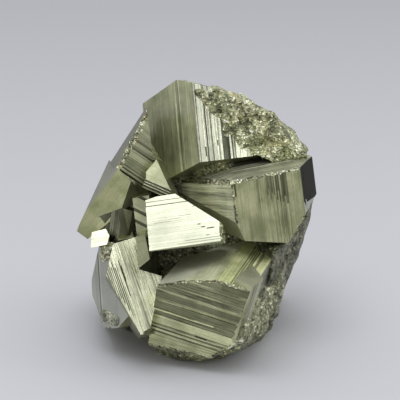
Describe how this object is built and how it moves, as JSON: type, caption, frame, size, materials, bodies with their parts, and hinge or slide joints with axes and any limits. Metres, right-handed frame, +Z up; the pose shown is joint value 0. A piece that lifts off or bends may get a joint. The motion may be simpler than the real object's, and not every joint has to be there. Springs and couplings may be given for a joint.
{
  "type": "pyrite specimen",
  "caption": "Cluster of intergrown striated pyrite cubes on massive granular pyrite, broken flat underneath so that it stands by itself.",
  "frame": {"origin": "on the flat broken base, under the middle of the specimen's bounding box", "axes": "+Z up from the base, -Y towards the side with the best crystals"},
  "size_m": [0.0612, 0.0593, 0.0656],
  "materials": {
    "pyrite": "natural metallic crystal faces, striated, with granular broken areas"
  },
  "bodies": {
    "root": {"pyrite_cluster": "pyrite"}
  },
  "joints": []
}
